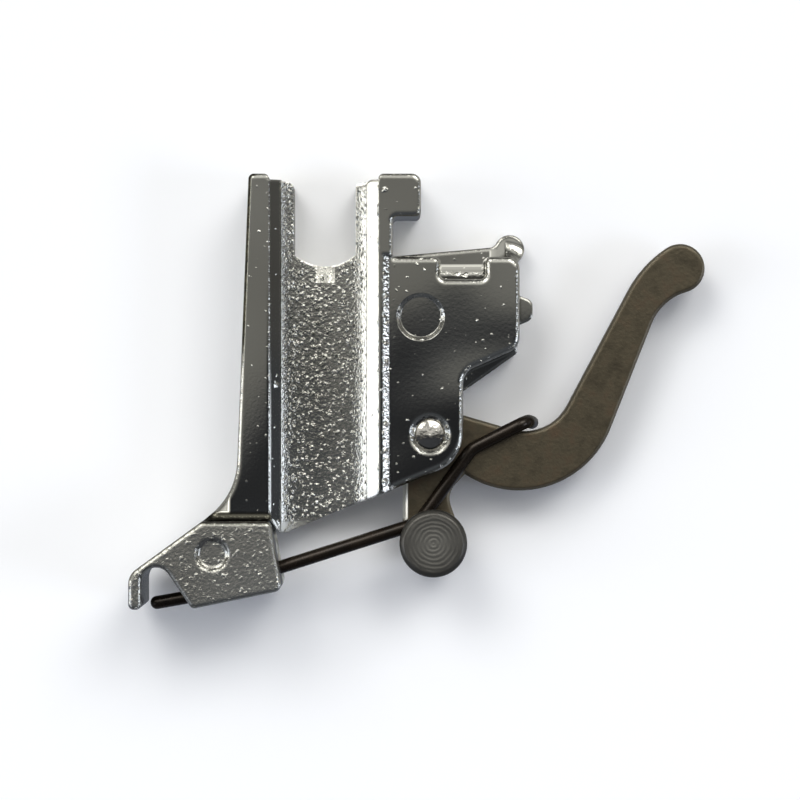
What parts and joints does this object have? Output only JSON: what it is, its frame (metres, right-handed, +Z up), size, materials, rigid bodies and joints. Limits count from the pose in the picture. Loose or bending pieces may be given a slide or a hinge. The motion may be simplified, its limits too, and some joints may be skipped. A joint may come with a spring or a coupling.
{
  "type": "clip-on presser foot holder",
  "caption": "Cast presser bar clamp with a sprung rear lever whose wire latch closes the groove for a clip-on sewing foot's pin.",
  "frame": {"origin": "on the presser bar's axis at the height of the clamp screw", "axes": "+Z up along the presser bar, +X towards the machine's rear where the lever is, +Y from the open side of the channel to its closed back"},
  "size_m": [0.0432, 0.0091, 0.0327],
  "materials": {
    "plated_casting": "bright plating over a rough as-cast skin",
    "polished_pin": "polished domed end",
    "bronzed_lever": "dark bronze, faintly mottled",
    "turned_pin": "dull turned face",
    "spring_wire": "blackened drawn wire"
  },
  "bodies": {
    "holder": {"holder_body": "plated_casting", "lever_pivot_pin": "polished_pin"},
    "lever": {"release_lever": "bronzed_lever", "spring_pin": "turned_pin"},
    "latch": {"latch_spring": "spring_wire"}
  },
  "joints": [
    {"name": "release_lever", "type": "hinge", "parent": "holder", "child": "lever", "pos_m": [0.00796, 0.0026, -0.01488], "axis": [0, -1, 0], "range_deg": [0, 20], "stiffness_Nm_per_rad": 0.02, "springref_deg": -17.19},
    {"name": "latch_swing", "type": "hinge", "parent": "lever", "child": "latch", "pos_m": [0.00821, 0.0006, -0.02307], "axis": [0, -1, 0], "range_deg": [-21.5, 0], "deforming": ["latch_spring"]}
  ],
  "couplings": [
    {"joint": "latch_swing", "follows": "release_lever", "ratio": -1.05}
  ]
}
